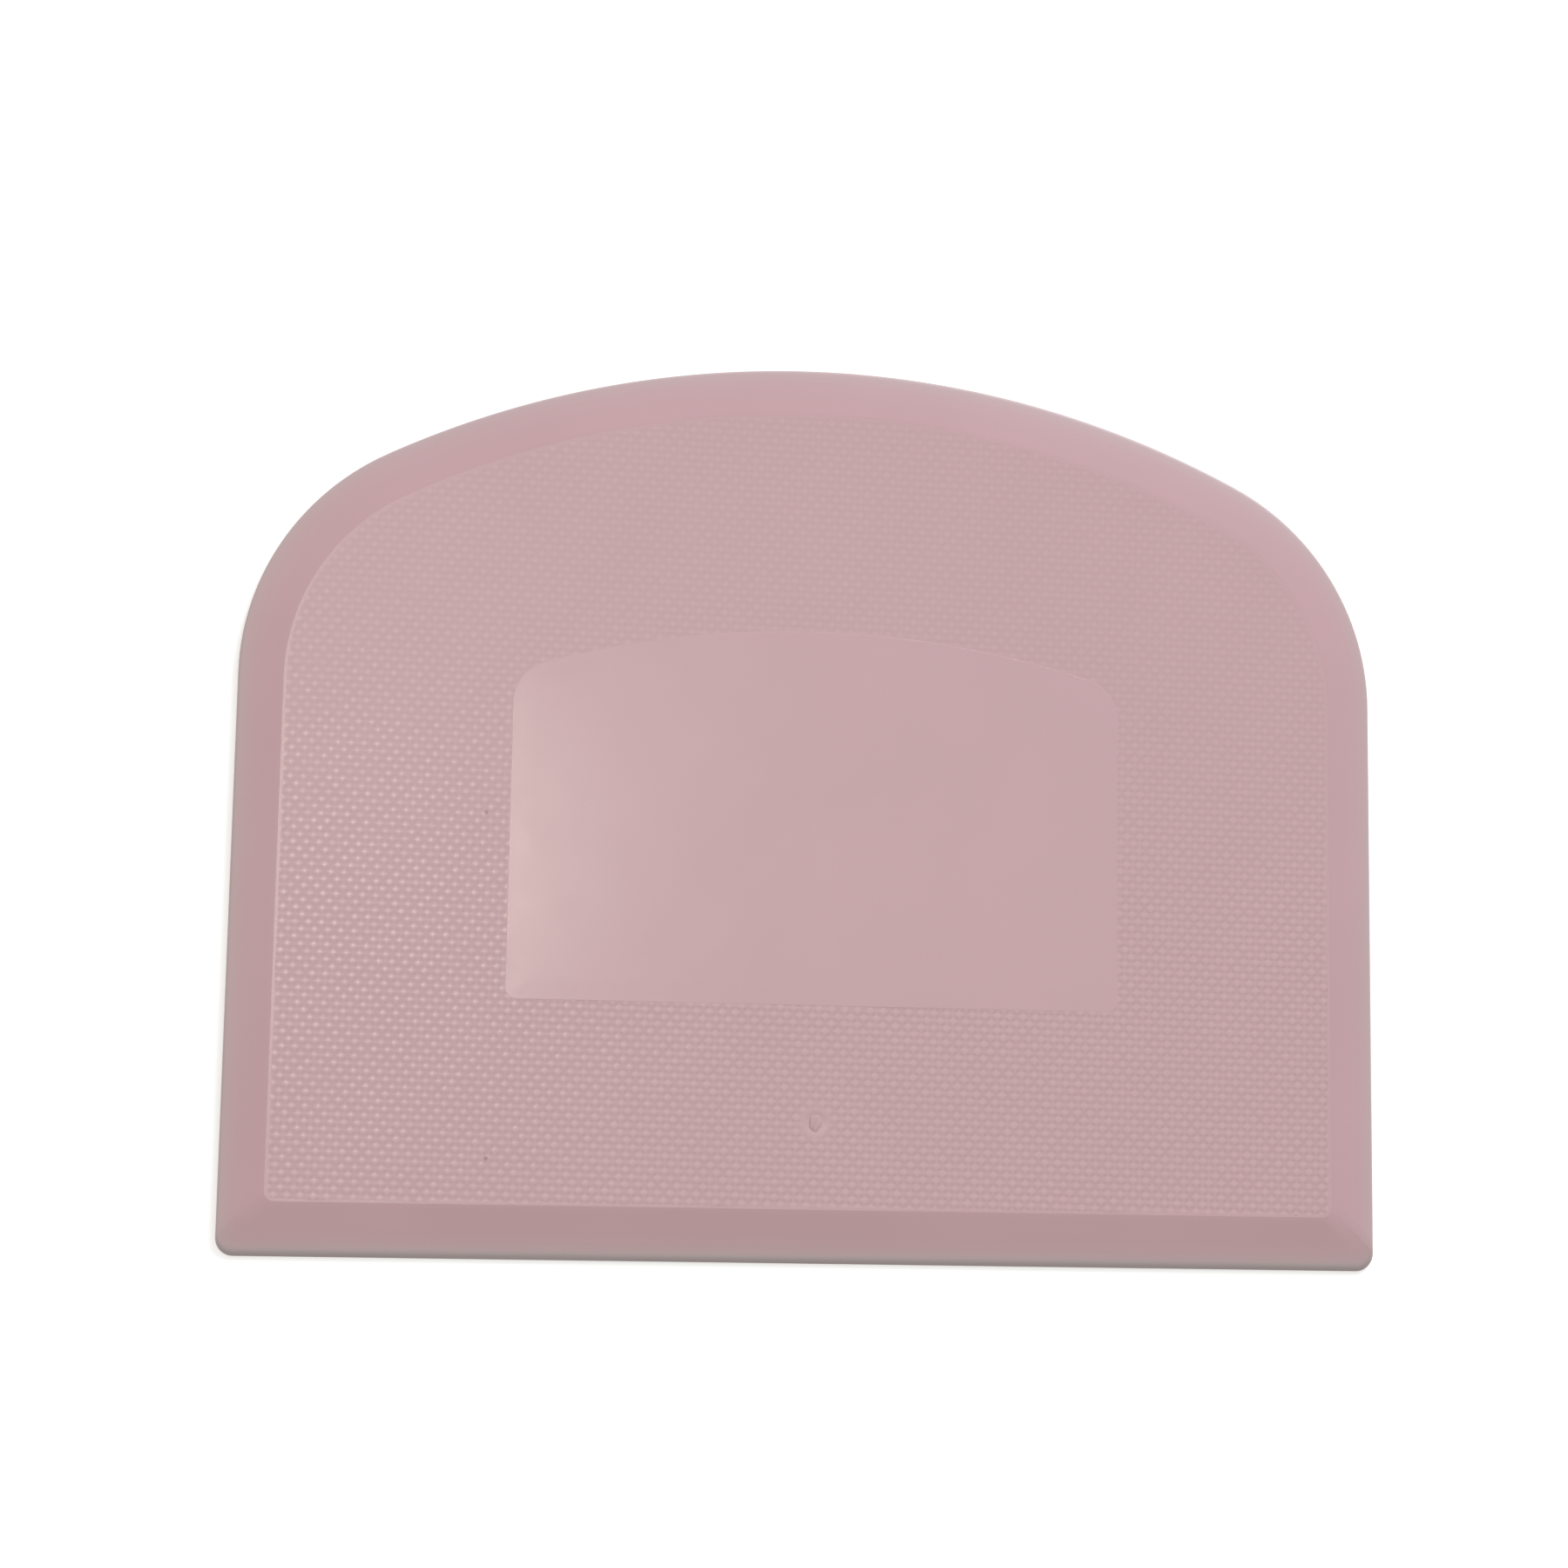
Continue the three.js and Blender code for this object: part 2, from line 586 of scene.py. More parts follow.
def arc_points(centre, radius, start, end, steps):
    """Points on an arc, from the start angle up to, and without, the end angle."""
    angle = np.linspace(start, end, steps, endpoint=False)
    return np.column_stack((centre[0] + radius * np.cos(angle), centre[1] + radius * np.sin(angle)))


def outline_points(shape):
    """Anticlockwise points of an outline, from the middle of its bottom.

    The right half is bottom line, corner arc, flank, shoulder arc and crown arc in turn, and the left
    half is its mirror image. Outlines of one kind have as many points, so that they pair up.
    """
    corner = (shape.half - shape.corner, shape.bottom + shape.corner)
    shoulder = (shape.shoulder_x, shape.shoulder_y)
    right = np.vstack(
        (
            line_points((0, shape.bottom), (corner[0], shape.bottom), STRAIGHT_STEPS),
            arc_points(corner, shape.corner, -QUARTER_TURN, 0, CORNER_STEPS),
            line_points((shape.half, corner[1]), (shape.half, shoulder[1]), FLANK_STEPS),
            arc_points(shoulder, shape.shoulder, 0, shape.tangent, SHOULDER_STEPS),
            arc_points((0, shape.crown_y), shape.crown, shape.tangent, QUARTER_TURN, CROWN_STEPS),
        )
    )
    apex = np.array([[0, shape.apex]])
    left = right[:0:-1] * (-1, 1)
    return np.vstack((right, apex, left)) + (shape.shift, 0)


def stacked(rows):
    """A grid of points with one row for each pair of an outline and its height, or heights."""
    loops = [(outline_points(shape), z) for shape, z in rows]
    return np.stack([np.column_stack((loop, np.full(len(loop), z))) for loop, z in loops])


def depth_inside(shape, x, y):
    """Distance from each point to the outline, positive inside it.

    Each point is measured to the stretch that faces it: an arc's radius less the distance to its
    centre in that arc's sector, and the distance to the flank or the bottom line elsewhere.
    """
    aside = np.abs(x - shape.shift)
    to_bottom = y - shape.bottom
    to_flank = shape.half - aside
    corner_x = aside - (shape.half - shape.corner)
    corner_y = y - (shape.bottom + shape.corner)
    to_corner = shape.corner - np.hypot(corner_x, corner_y)
    to_shoulder = shape.shoulder - np.hypot(aside - shape.shoulder_x, y - shape.shoulder_y)
    to_crown = shape.crown - np.hypot(aside, y - shape.crown_y)
    under_crown = np.arctan2(y - shape.crown_y, aside) > shape.tangent
    upper = np.where(under_crown, to_crown, np.where(y > shape.shoulder_y, to_shoulder, to_flank))
    in_corner = (corner_x > 0) & (corner_y < 0)
    return np.where(in_corner, to_corner, np.minimum(upper, to_bottom))


def smooth_step(low, high, value):
    """0 below low, 1 above high, and an S-curve between."""
    share = np.clip((value - low) / (high - low), 0, 1)
    return share * share * (3 - 2 * share)


def grid_quads(rows, columns, wrap_rows=False, wrap_columns=False):
    """Corner indices of the quads of a grid of points, which may close on itself either way."""
    index = np.arange(rows * columns).reshape(rows, columns)
    if wrap_rows:
        index = np.vstack((index, index[:1]))
    if wrap_columns:
        index = np.hstack((index, index[:, :1]))
    corners = (index[:-1, :-1], index[:-1, 1:], index[1:, 1:], index[1:, :-1])
    return np.stack(corners, axis=-1).reshape(-1, 4)


def rims_of(quads, count):
    """The directed edges that only one quad has, as pairs of indices."""
    edges = np.vstack([quads[:, [k, (k + 1) % 4]] for k in range(4)])
    edges = edges[edges[:, 0] != edges[:, 1]]
    there = edges[:, 0] * count + edges[:, 1]
    back = edges[:, 1] * count + edges[:, 0]
    return edges[~np.isin(there, back)]


def new_piece(name, points, faces, material, slot, *nodes, attributes=None, sharp=math.radians(40)):
    """A mesh object at the origin that rides on the body and stands for the named CAD nodes."""
    mesh = bpy.data.meshes.new(name)
    mesh.from_pydata(np.asarray(points).tolist(), [], [list(face) for face in faces])
    for key, values in (attributes or {}).items():
        mesh.attributes.new(key, "FLOAT", "POINT").data.foreach_set("value", values.astype(np.float32))
    mesh.materials.append(material)
    mesh.polygons.foreach_set("use_smooth", np.ones(len(mesh.polygons), bool))
    mesh.set_sharp_from_angle(angle=sharp)
    mesh.update()
    piece = bpy.data.objects.new(name, mesh)
    bpy.context.scene.collection.objects.link(piece)
    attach(piece, BODY)
    if nodes:
        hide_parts(*nodes)
    return piece


def close_flat(piece, normal):
    """Fills the open, level edges of a piece with triangles that face along normal."""
    solid = bmesh.new()
    solid.from_mesh(piece.data)
    edges = [edge for edge in solid.edges if edge.is_boundary]
    bmesh.ops.triangle_fill(solid, use_beauty=False, use_dissolve=False, edges=edges, normal=normal)
    solid.to_mesh(piece.data)
    solid.free()


def add_node(tree, kind, **inputs):
    """A new shader node with the given input values. Underscores in a name stand for spaces."""
    node = tree.nodes.new(kind)
    for key, value in inputs.items():
        node.inputs[key.replace("_", " ")].default_value = value
    return node


def plastic(name, roughness):
    """A plain plastic material: its node tree, its shader and its Object coordinates."""
    material = bpy.data.materials.new(name)
    material.use_nodes = True
    tree = material.node_tree
    shader = tree.nodes["Principled BSDF"]
    shader.inputs["Roughness"].default_value = roughness
    shader.inputs["IOR"].default_value = 1.49
    place = tree.nodes.new("ShaderNodeTexCoord").outputs["Object"]
    return material, tree, shader, place


def noise(tree, place, scale, detail=2.0, roughness=0.5):
    node = add_node(tree, "ShaderNodeTexNoise", Scale=scale, Detail=detail, Roughness=roughness)
    tree.links.new(place, node.inputs["Vector"])
    return node.outputs["Fac"]


def remap(tree, value, low, high, to_low, to_high):
    """Maps a value from one range to another, held at both ends."""
    node = tree.nodes.new("ShaderNodeMapRange")
    tree.links.new(value, node.inputs["Value"])
    node.inputs["From Min"].default_value = low
    node.inputs["From Max"].default_value = high
    node.inputs["To Min"].default_value = to_low
    node.inputs["To Max"].default_value = to_high
    return node.outputs["Result"]


def mixed(tree, share, first, second):
    """A colour between two colours, each a value or a socket."""
    node = tree.nodes.new("ShaderNodeMix")
    node.data_type = "RGBA"
    tree.links.new(share, node.inputs["Factor"])
    for socket, colour in ((node.inputs[6], first), (node.inputs[7], second)):
        if isinstance(colour, bpy.types.NodeSocket):
            tree.links.new(colour, socket)
        else:
            socket.default_value = (*colour, 1.0)
    return node.outputs[2]


def seen_rays(tree):
    """1 for the rays in which the background is seen: the camera's, and reflected or let-through ones."""
    path = tree.nodes.new("ShaderNodeLightPath")
    seen = path.outputs["Is Camera Ray"]
    for other in ("Is Glossy Ray", "Is Transmission Ray"):
        larger = tree.nodes.new("ShaderNodeMath")
        larger.operation = "MAXIMUM"
        tree.links.new(seen, larger.inputs[0])
        tree.links.new(path.outputs[other], larger.inputs[1])
        seen = larger.outputs["Value"]
    return seen


def shaded(colour, gain):
    return tuple(channel * gain for channel in colour)


def attribute(tree, name):
    node = tree.nodes.new("ShaderNodeAttribute")
    node.attribute_name = name
    return node.outputs["Fac"]


def flecked(tree, place, colour):
    """A colour with a few tiny dark flecks on the front face."""
    for x, y in FLECKS:
        away = tree.nodes.new("ShaderNodeVectorMath")
        away.operation = "DISTANCE"
        away.inputs[1].default_value = (x, y, FACE_Z)
        tree.links.new(place, away.inputs[0])
        spot = remap(tree, away.outputs["Value"], FLECK_CORE, FLECK_RADIUS, FLECK_STRENGTH, 0.0)
        colour = mixed(tree, spot, colour, tuple(colours().fleck))
    return colour


def roughened(tree, shader, heights, distance, strength):
    """Bump from a height socket."""
    bump = add_node(tree, "ShaderNodeBump", Strength=strength, Distance=distance)
    tree.links.new(heights, bump.inputs["Height"])
    tree.links.new(bump.outputs["Normal"], shader.inputs["Normal"])


def woven_plastic():
    """Pink with painted shade that deepens the grooves and painted light that pales the crowns, dull
    grooves, crowns polished by use, and a fine moulded grain.
    """
    material, tree, shader, place = plastic("woven_pink_plastic", 0.42)
    body = tuple(colours().body)
    relief = attribute(tree, "relief")
    mottle = remap(tree, noise(tree, place, 55.0, 3.0), 0.3, 0.7, 0.0, 1.0)
    # Painted shade and light: the colour runs from the groove pink at low relief to a paler pink at the
    # crowns.
    crown = mixed(tree, mottle, shaded(body, 1.04), shaded(body, 1.07))
    colour = mixed(tree, remap(tree, relief, 0.05, 0.7, 0.0, 1.0), tuple(colours().painted_groove_shade), crown)
    tree.links.new(flecked(tree, place, colour), shader.inputs["Base Color"])
    gloss = remap(tree, attribute(tree, "polish"), 0.0, 0.6, 0.42, 0.22)
    tree.links.new(gloss, shader.inputs["Roughness"])
    roughened(tree, shader, noise(tree, place, 5000.0, 2.0), 0.00002, 0.02)
    return material


def window_plastic():
    """Smooth satin pink with a faint orange peel and soft cloudy gloss."""
    material, tree, shader, place = plastic("smooth_pink_plastic", 0.36)
    body = tuple(colours().body)
    mottle = remap(tree, noise(tree, place, 70.0, 4.0), 0.3, 0.7, 0.0, 1.0)
    colour = mixed(tree, mottle, shaded(body, 0.985), shaded(body, 1.015))
    tree.links.new(colour, shader.inputs["Base Color"])
    gloss = remap(tree, noise(tree, place, 240.0, 3.0), 0.3, 0.7, 0.18, 0.24)
    tree.links.new(gloss, shader.inputs["Roughness"])
    roughened(tree, shader, noise(tree, place, 1100.0, 2.0), 0.00002, 0.08)
    return material


def rim_plastic():
    """Satin bevel that greys towards the thin edge, with painted shade on the straight edge: a dull,
    darker band.
    """
    material, tree, shader, place = plastic("bevelled_pink_plastic", 0.40)
    # Painted shade: the darker bevel pink stands in for shade on the sloped rim.
    bevel = tuple(colours().bevel)
    thin = attribute(tree, "thin")
    mottle = remap(tree, noise(tree, place, 60.0, 3.0), 0.3, 0.7, 0.0, 1.0)
    thick = mixed(tree, mottle, shaded(bevel, 0.98), shaded(bevel, 1.02))
    # Painted shade on the straight edge: a darker, greyer colour and a weaker specular reflection there.
    painted_edge_shade_share = attribute(tree, "painted_edge_shade_share")
    colour = mixed(tree, thin, thick, tuple(colours().edge))
    colour = mixed(tree, painted_edge_shade_share, colour, tuple(colours().painted_edge_shade))
    tree.links.new(colour, shader.inputs["Base Color"])
    tree.links.new(remap(tree, thin, 0.0, 1.0, 0.26, 0.45), shader.inputs["Roughness"])
    tree.links.new(remap(tree, painted_edge_shade_share, 0.0, 1.0, 0.5, 0.1), shader.inputs["Specular IOR Level"])
    roughened(tree, shader, noise(tree, place, 2600.0, 3.0), 0.00002, 0.06)
    return material


def weave(across, along, seed):
    """Relief and polish of a plain weave, each from 0 to 1, stacked on a last axis.

    Across and along count yarns, as u and v. The relief is the sum of four soft waves:
    0.45 + 0.11 cos(2 pi u) + 0.2 cos(2 pi v) + 0.19 cos(pi u) cos(pi v). The last one lifts the crowns of
    the rows over those of the columns. Every crown sinks by a little of its own, most at its middle.
    Polish is twice the height of the relief above its mean.
    """
    column = np.floor(across + 0.5).astype(int)
    row = np.floor(along + 0.5).astype(int)
    uneven = np.random.default_rng(seed).uniform(0, 1, (UNEVEN_YARNS, UNEVEN_YARNS))
    uneven = uneven[row % UNEVEN_YARNS, column % UNEVEN_YARNS]
    over_u = np.cos(np.pi * across)
    over_v = np.cos(np.pi * along)
    relief = 0.45 + 0.11 * np.cos(2 * np.pi * across) + 0.2 * np.cos(2 * np.pi * along)
    relief = relief + 0.19 * over_u * over_v - 0.25 * uneven * (over_u * over_v) ** 2
    polish = np.clip(2 * (relief - MEAN_FINISH[0]), 0, 1)
    return np.stack((relief, polish), axis=-1)


class Lattice(NamedTuple):
    """The part of the weave that a sheet covers: first and last yarn each way, and steps per yarn."""

    columns: tuple
    rows: tuple
    samples: int


def woven_sheet(lattice, depth_at, surface_z, seed, facing):
    """A woven sheet, trimmed to a field.

    The grid lies on the weave, turned against the blade, with its crowns at surface_z and its grooves
    a relief below. Points within a snap of the field's edge, or outside it, move to the edge along the
    slope of the depth. Returns points, quads, and relief and polish at each point. Facing is 1 for the
    front and -1 for the back.
    """
    sizes = weave_sizes()
    steps = lattice.samples
    across = np.arange(lattice.columns[0] * steps, lattice.columns[1] * steps + 1) / steps
    along = np.arange(lattice.rows[0] * steps, lattice.rows[1] * steps + 1) / steps
    across, along = np.meshgrid(across, along)
    flat_x = across * sizes.pitch_across
    flat_y = along * sizes.pitch_along
    x = flat_x * math.cos(sizes.turn) - flat_y * math.sin(sizes.turn)
    y = flat_x * math.sin(sizes.turn) + flat_y * math.cos(sizes.turn)
    depth = depth_at(x, y)
    share = smooth_step(0, sizes.fade, depth)[..., None]
    worn = sizes.wear * smooth_step(sizes.wear_from, sizes.wear_to, y)[..., None]
    finish = MEAN_FINISH + (weave(across, along, seed) - MEAN_FINISH) * (1 - worn)
    finish = SMOOTH_FINISH + (finish - SMOOTH_FINISH) * share
    snap = 0.4 * sizes.pitch_across / steps
    nudge = 0.1 * snap
    slope_x = (depth_at(x + nudge, y) - depth_at(x - nudge, y)) / (2 * nudge)
    slope_y = (depth_at(x, y + nudge) - depth_at(x, y - nudge)) / (2 * nudge)
    edge = depth < snap
    x = np.where(edge, x - depth * slope_x, x)
    y = np.where(edge, y - depth * slope_y, y)
    keep = ~(edge[:-1, :-1] & edge[:-1, 1:] & edge[1:, 1:] & edge[1:, :-1])
    quads = grid_quads(*x.shape)[keep.ravel()]
    used, quads = np.unique(quads, return_inverse=True)
    quads = quads.reshape(-1, 4)
    x, y = x.ravel()[used], y.ravel()[used]
    finish = finish.reshape(-1, 2)[used]
    z = surface_z - facing * sizes.relief * (1 - finish[:, 0])
    if facing < 0:
        quads = quads[:, ::-1]
    return np.column_stack((x, y, z)), quads, finish


def skirted(points, quads, finish, floor_z):
    """Adds walls from the open edges of a sheet to the level floor_z, with the finish of those edges."""
    count = len(points)
    edges = rims_of(quads, count)
    ends = np.unique(edges)
    below = np.zeros(count, int)
    below[ends] = count + np.arange(len(ends))
    feet = points[ends] * (1, 1, 0) + (0, 0, floor_z)
    first, second = edges[:, 0], edges[:, 1]
    walls = np.column_stack((second, first, below[first], below[second]))
    return np.vstack((points, feet)), np.vstack((quads, walls)), np.concatenate((finish, finish[ends]))


def finish_attributes(finish):
    return {"relief": finish[:, 0], "polish": finish[:, 1]}


def front_depth(x, y):
    """Distance to the edge of the front field, which lies inside the lip and outside the window."""
    sizes = blade_sizes()
    field = drawn_in(panel_outline(), sizes.lip_width, sizes.straight_lip_width)
    return np.minimum(depth_inside(field, x, y), -depth_inside(window_outline(), x, y))


def smooth_z():
    """Height of the smooth surface that the front weave runs out to."""
    return FACE_Z - weave_sizes().relief * (1 - SMOOTH_FINISH[0])


def gate_place():
    return weave_sizes().gate_x, BLADE_LOW[1] + weave_sizes().gate_from_edge


def around_gate(points, finish):
    """Flattens the weave near the gate mark and sinks it into a small dimple with a steep wall."""
    sizes = weave_sizes()
    gate_x, gate_y = gate_place()
    away = np.hypot(points[:, 0] - gate_x, points[:, 1] - gate_y) / sizes.dimple_radius
    kept = smooth_step(CALM_FROM, CALM_TO, away)[:, None]
    finish = CALM_FINISH + (finish - CALM_FINISH) * kept
    sunk = sizes.dimple_depth * (1 - smooth_step(DIMPLE_FLOOR, 1.0, away))
    z = FACE_Z - sizes.relief * (1 - finish[:, 0]) - sunk
    return np.column_stack((points[:, :2], z)), finish


class SCRAPER_OT_rim(bpy.types.Operator):
    """Make the bevelled rim, with its rounded working edges"""

    bl_idname = "scraper.rim"
    bl_label = "Bevelled rim"

    def execute(self, context):
        sizes = blade_sizes()
        blade = blade_outline()
        panel = panel_outline()
        nosed = drawn_in(blade, sizes.nose, sizes.straight_nose)
        thickness = self.thickness(blade)
        waist = WAIST_SHARE * thickness
        rows = [(panel, 0.0), (between(nosed, panel, 0.5), 0.0)]
        rows += [
            (self.nosed(blade, UNDER_NOSE_SHARE, a), waist * (1 - math.cos(a))) for a in self.quarter()
        ]
        rows += [
            (self.nosed(blade, 1.0, QUARTER_TURN - a), waist + (thickness - waist) * math.sin(a))
            for a in self.quarter()[1:]
        ]
        rows += [
            (between(nosed, panel, share), thickness + (smooth_z() - thickness) * self.slope(share))
            for share in np.linspace(0, 1, BEVEL_STEPS)[1:]
        ]
        points = stacked(rows)
        width = blade.half - panel.half
        inset = np.array([blade.half - shape.half for shape, z in rows])
        close = np.exp(-inset / sizes.thin_reach)
        across = np.clip(1 - inset / width, 0, 1) ** 2
        thin = THIN_EDGE_SHARE * close + (1 - THIN_EDGE_SHARE) * across
        thin = np.repeat(thin[:, None], points.shape[1], axis=1)
        # Painted shade on the straight edge's nose: darkest near the edge, fading inwards, and only where
        # the outline faces the straight edge.
        from_edge = np.array([shape.bottom - blade.bottom for shape, z in rows])
        painted_edge_shade_share = 1 - smooth_step(sizes.painted_edge_shade_from, sizes.painted_edge_shade_to, from_edge)
        painted_edge_shade_share = painted_edge_shade_share[:, None] * self.facing_down(blade)
        quads = grid_quads(points.shape[0], points.shape[1], wrap_rows=True, wrap_columns=True)
        new_piece(
            "bevelled_rim",
            points.reshape(-1, 3),
            quads,
            rim_plastic(),
            "rim_plastic",
            *RIM_NODES,
            attributes={"thin": thin.ravel(), "painted_edge_shade_share": painted_edge_shade_share.ravel()},
        )
        return {"FINISHED"}

    @staticmethod
    def facing_down(blade):
        """How far each point of the outline faces down, from 0 to 1: the drop of its normal."""
        nose = blade_sizes().nose
        inward = outline_points(drawn_in(blade, nose)) - outline_points(blade)
        return np.clip(inward[:, 1] / nose, 0, 1)

    @classmethod
    def thickness(cls, blade):
        """Thickness at each point of the outline, blended where it turns round the bottom corners."""
        sizes = blade_sizes()
        change = sizes.straight_thickness - sizes.edge_thickness
        return sizes.edge_thickness + change * cls.facing_down(blade)

    @staticmethod
    def quarter():
        return np.linspace(0, QUARTER_TURN, NOSE_STEPS)

    @staticmethod
    def nosed(blade, gain, angle):
        """The blade drawn in by a share 1 - sin(angle) of its nose."""
        share = gain * (1 - math.sin(angle))
        sizes = blade_sizes()
        return drawn_in(blade, share * sizes.nose, share * sizes.straight_nose)

    @staticmethod
    def slope(share):
        """Share of the bevel's rise: straight, then easing off over the last part of its width."""
        eased = max(share - EASE_FROM, 0)
        return (share - EASE * eased**2) / (1 - EASE * (1 - EASE_FROM) ** 2)


class SCRAPER_OT_lip(bpy.types.Operator):
    """Make the smooth band that frames the front weave"""

    bl_idname = "scraper.lip"
    bl_label = "Panel lip"

    def execute(self, context):
        sizes = blade_sizes()
        panel = panel_outline()
        top = smooth_z()
        curl = sizes.lip_round
        angles = np.linspace(0, QUARTER_TURN, LIP_STEPS)
        inner = drawn_in(panel, sizes.lip_width, sizes.straight_lip_width)
        rows = [(panel, PLATE_Z)]
        drop = 0.3 * curl * (1 - np.sin(angles))
        rows += [(drawn_in(panel, curl * (1 - math.cos(a))), top - z) for a, z in zip(angles, drop)]
        rows += [(drawn_in(inner, -curl * math.cos(a)), top - z) for a, z in zip(angles[::-1], drop[::-1])]
        rows += [(inner, PLATE_Z)]
        points = stacked(rows)
        quads = grid_quads(points.shape[0], points.shape[1], wrap_rows=True, wrap_columns=True)
        new_piece(
            "panel_lip",
            points.reshape(-1, 3),
            quads,
            woven_plastic(),
            "woven_plastic",
            "front_grip_panel",
            attributes=finish_attributes(np.tile(SMOOTH_FINISH, (points[..., 0].size, 1))),
        )
        return {"FINISHED"}


class SCRAPER_OT_front_weave(bpy.types.Operator):
    """Make the woven field of the front, in four blocks that meet along grooves"""

    bl_idname = "scraper.front_weave"
    bl_label = "Front weave"

    def execute(self, context):
        steps = weave_sizes().front_samples
        material = bpy.data.materials["woven_pink_plastic"]
        all_rows = (-LAST_ROW, LAST_ROW)
        middle = (-CUT_COLUMN, CUT_COLUMN)
        blocks = {
            "front_weave_left": Lattice((-LAST_COLUMN, -CUT_COLUMN), all_rows, steps),
            "front_weave_right": Lattice((CUT_COLUMN, LAST_COLUMN), all_rows, steps),
            "front_weave_top": Lattice(middle, (CUT_ROW, LAST_ROW), steps),
            "front_weave_bottom": Lattice(middle, (-LAST_ROW, CUT_ROW), steps),
        }
        for name, lattice in blocks.items():
            points, quads, finish = woven_sheet(lattice, front_depth, FACE_Z, FRONT_SEED, 1)
            points, finish = around_gate(points, finish)
            points, faces, finish = skirted(points, quads, finish, PLATE_Z)
            piece = new_piece(
                name,
                points,
                faces,
                material,
                "woven_plastic",
                "front_grip_panel",
                attributes=finish_attributes(finish),
                sharp=math.radians(70),
            )
            close_flat(piece, Vector((0, 0, -1)))
        return {"FINISHED"}


class SCRAPER_OT_window(bpy.types.Operator):
    """Make the smooth window with its arched top"""

    bl_idname = "scraper.window"
    bl_label = "Label window"

    def execute(self, context):
        sizes = blade_sizes()
        shape = drawn_in(window_outline(), -sizes.window_edge)
        across = shape.half * np.sin(np.linspace(-QUARTER_TURN, QUARTER_TURN, WINDOW_COLUMNS))
        share = (1 - np.cos(np.linspace(0, math.pi, WINDOW_ROWS))) / 2
        in_corner = np.maximum(np.abs(across) - (shape.half - shape.corner), 0)
        low = shape.bottom + shape.corner - np.sqrt(np.maximum(shape.corner**2 - in_corner**2, 0))
        in_shoulder = np.clip(np.abs(across) - shape.shoulder_x, 0, shape.shoulder)
        by_shoulder = shape.shoulder_y + np.sqrt(shape.shoulder**2 - in_shoulder**2)
        by_crown = shape.crown_y + np.sqrt(shape.crown**2 - across**2)
        tangent_x = shape.crown * math.cos(shape.tangent)
        high = np.where(np.abs(across) > tangent_x, by_shoulder, by_crown)
        x = np.repeat(across[None, :], len(share), axis=0)
        y = low[None, :] + (high - low)[None, :] * share[:, None]
        x = x + shape.shift
        depth = np.clip(depth_inside(shape, x, y), 0, sizes.window_edge)
        rounding = sizes.window_edge - np.sqrt(sizes.window_edge**2 - (sizes.window_edge - depth) ** 2)
        inward = depth_inside(shape, x, y) / sizes.window_roll_width
        rolled = sizes.window_roll * (1 - smooth_step(0, 1, inward))
        points = np.column_stack((x.ravel(), y.ravel(), (FACE_Z - rounding - rolled).ravel()))
        quads = grid_quads(*x.shape)
        points, faces, unused = skirted(points, quads, np.zeros(len(points)), PLATE_Z)
        piece = new_piece(
            "window_pad",
            points,
            faces,
            window_plastic(),
            "smooth_plastic",
            "label_window",
        )
        close_flat(piece, Vector((0, 0, -1)))
        return {"FINISHED"}


class SCRAPER_OT_gate(bpy.types.Operator):
    """Make the torn stub left where the plastic entered the mould"""

    bl_idname = "scraper.gate"
    bl_label = "Gate stub"

    def execute(self, context):
        sizes = weave_sizes()
        gate_x, gate_y = gate_place()
        floor_z = FACE_Z - sizes.dimple_depth
        angle = np.linspace(0, 2 * math.pi, STUB_SIDES, endpoint=False)
        share = np.array(STUB_RINGS)[:, None]
        ragged = 1 + 0.05 * np.sin(3 * angle + 0.7) + 0.04 * np.sin(5 * angle + 2.1)
        across = sizes.stub_across * share * ragged * np.cos(angle)
        along = sizes.stub_along * share * ragged * np.sin(angle)
        swell = sizes.stub_height * (1 - share**4)
        streaks = np.cos(2 * math.pi * (across - STREAK_LEAN * along) / sizes.streak_pitch + 0.9)
        swell = swell + STREAK_SHARE * sizes.stub_height * streaks * (1 - share**2)
        z = floor_z + swell - sizes.stub_height * (share == STUB_RINGS[0])
        x = gate_x + across
        y = gate_y + along
        points = np.stack((x, y, z), axis=-1)
        faces = grid_quads(len(share), len(angle), wrap_columns=True).tolist()
        last = (len(share) - 1) * len(angle)
        faces.append(list(range(len(angle)))[::-1])
        faces.append(list(range(last, last + len(angle))))
        new_piece(
            "gate_stub",
            points.reshape(-1, 3),
            faces,
            bpy.data.materials["bevelled_pink_plastic"],
            "woven_plastic",
            attributes={"thin": np.full(x.size, 0.1)},
        )
        return {"FINISHED"}


class SCRAPER_OT_back_weave(bpy.types.Operator):
    """Make the woven field that lies flush in the back"""

    bl_idname = "scraper.back_weave"
    bl_label = "Back weave"

    def execute(self, context):
        steps = weave_sizes().back_samples
        panel = panel_outline()

        def back_depth(x, y):
            return depth_inside(panel, x, y)

        lattice = Lattice((-LAST_COLUMN, LAST_COLUMN), (-LAST_ROW, LAST_ROW), steps)
        points, quads, finish = woven_sheet(lattice, back_depth, 0.0, BACK_SEED, -1)
        points, faces, finish = skirted(points, quads, finish, BACK_PANEL_Z)
        piece = new_piece(
            "back_weave",
            points,
            faces,
            bpy.data.materials["woven_pink_plastic"],
            "woven_plastic",
            "back_grip_panel",
            attributes=finish_attributes(finish),
            sharp=math.radians(70),
        )
        close_flat(piece, Vector((0, 0, 1)))
        return {"FINISHED"}


